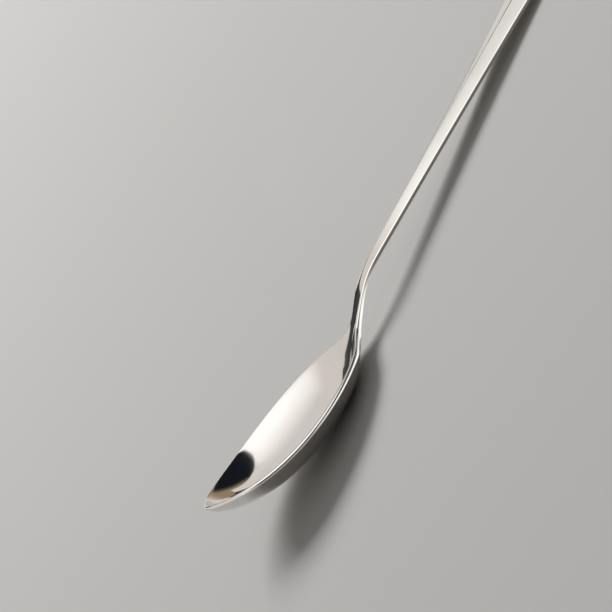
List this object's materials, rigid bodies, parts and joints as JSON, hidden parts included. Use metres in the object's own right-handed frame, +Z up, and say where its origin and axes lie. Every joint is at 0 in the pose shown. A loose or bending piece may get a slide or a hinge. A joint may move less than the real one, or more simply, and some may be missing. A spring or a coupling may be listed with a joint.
{
  "type": "teaspoon",
  "caption": "Polished steel teaspoon: egg-shaped bowl, slim S-bend neck and a straight ridged handle, flat behind, that flares to a round end; for stirring, measuring and eating.",
  "frame": {"origin": "middle of the spoon's bounding box, on the table that it lies on", "axes": "+X from the tip of the bowl towards the end of the handle, +Y across the spoon, +Z up, out of the bowl"},
  "size_m": [0.142, 0.0304, 0.0166],
  "materials": {
    "bowl_steel": "mirror-polished stainless steel, faint stirring scratches inside",
    "handle_steel": "mirror-polished stainless steel, faint lengthwise polishing lines"
  },
  "bodies": {
    "root": {"bowl": "bowl_steel", "neck": "handle_steel", "stem": "handle_steel", "handle_end": "handle_steel"}
  },
  "joints": []
}
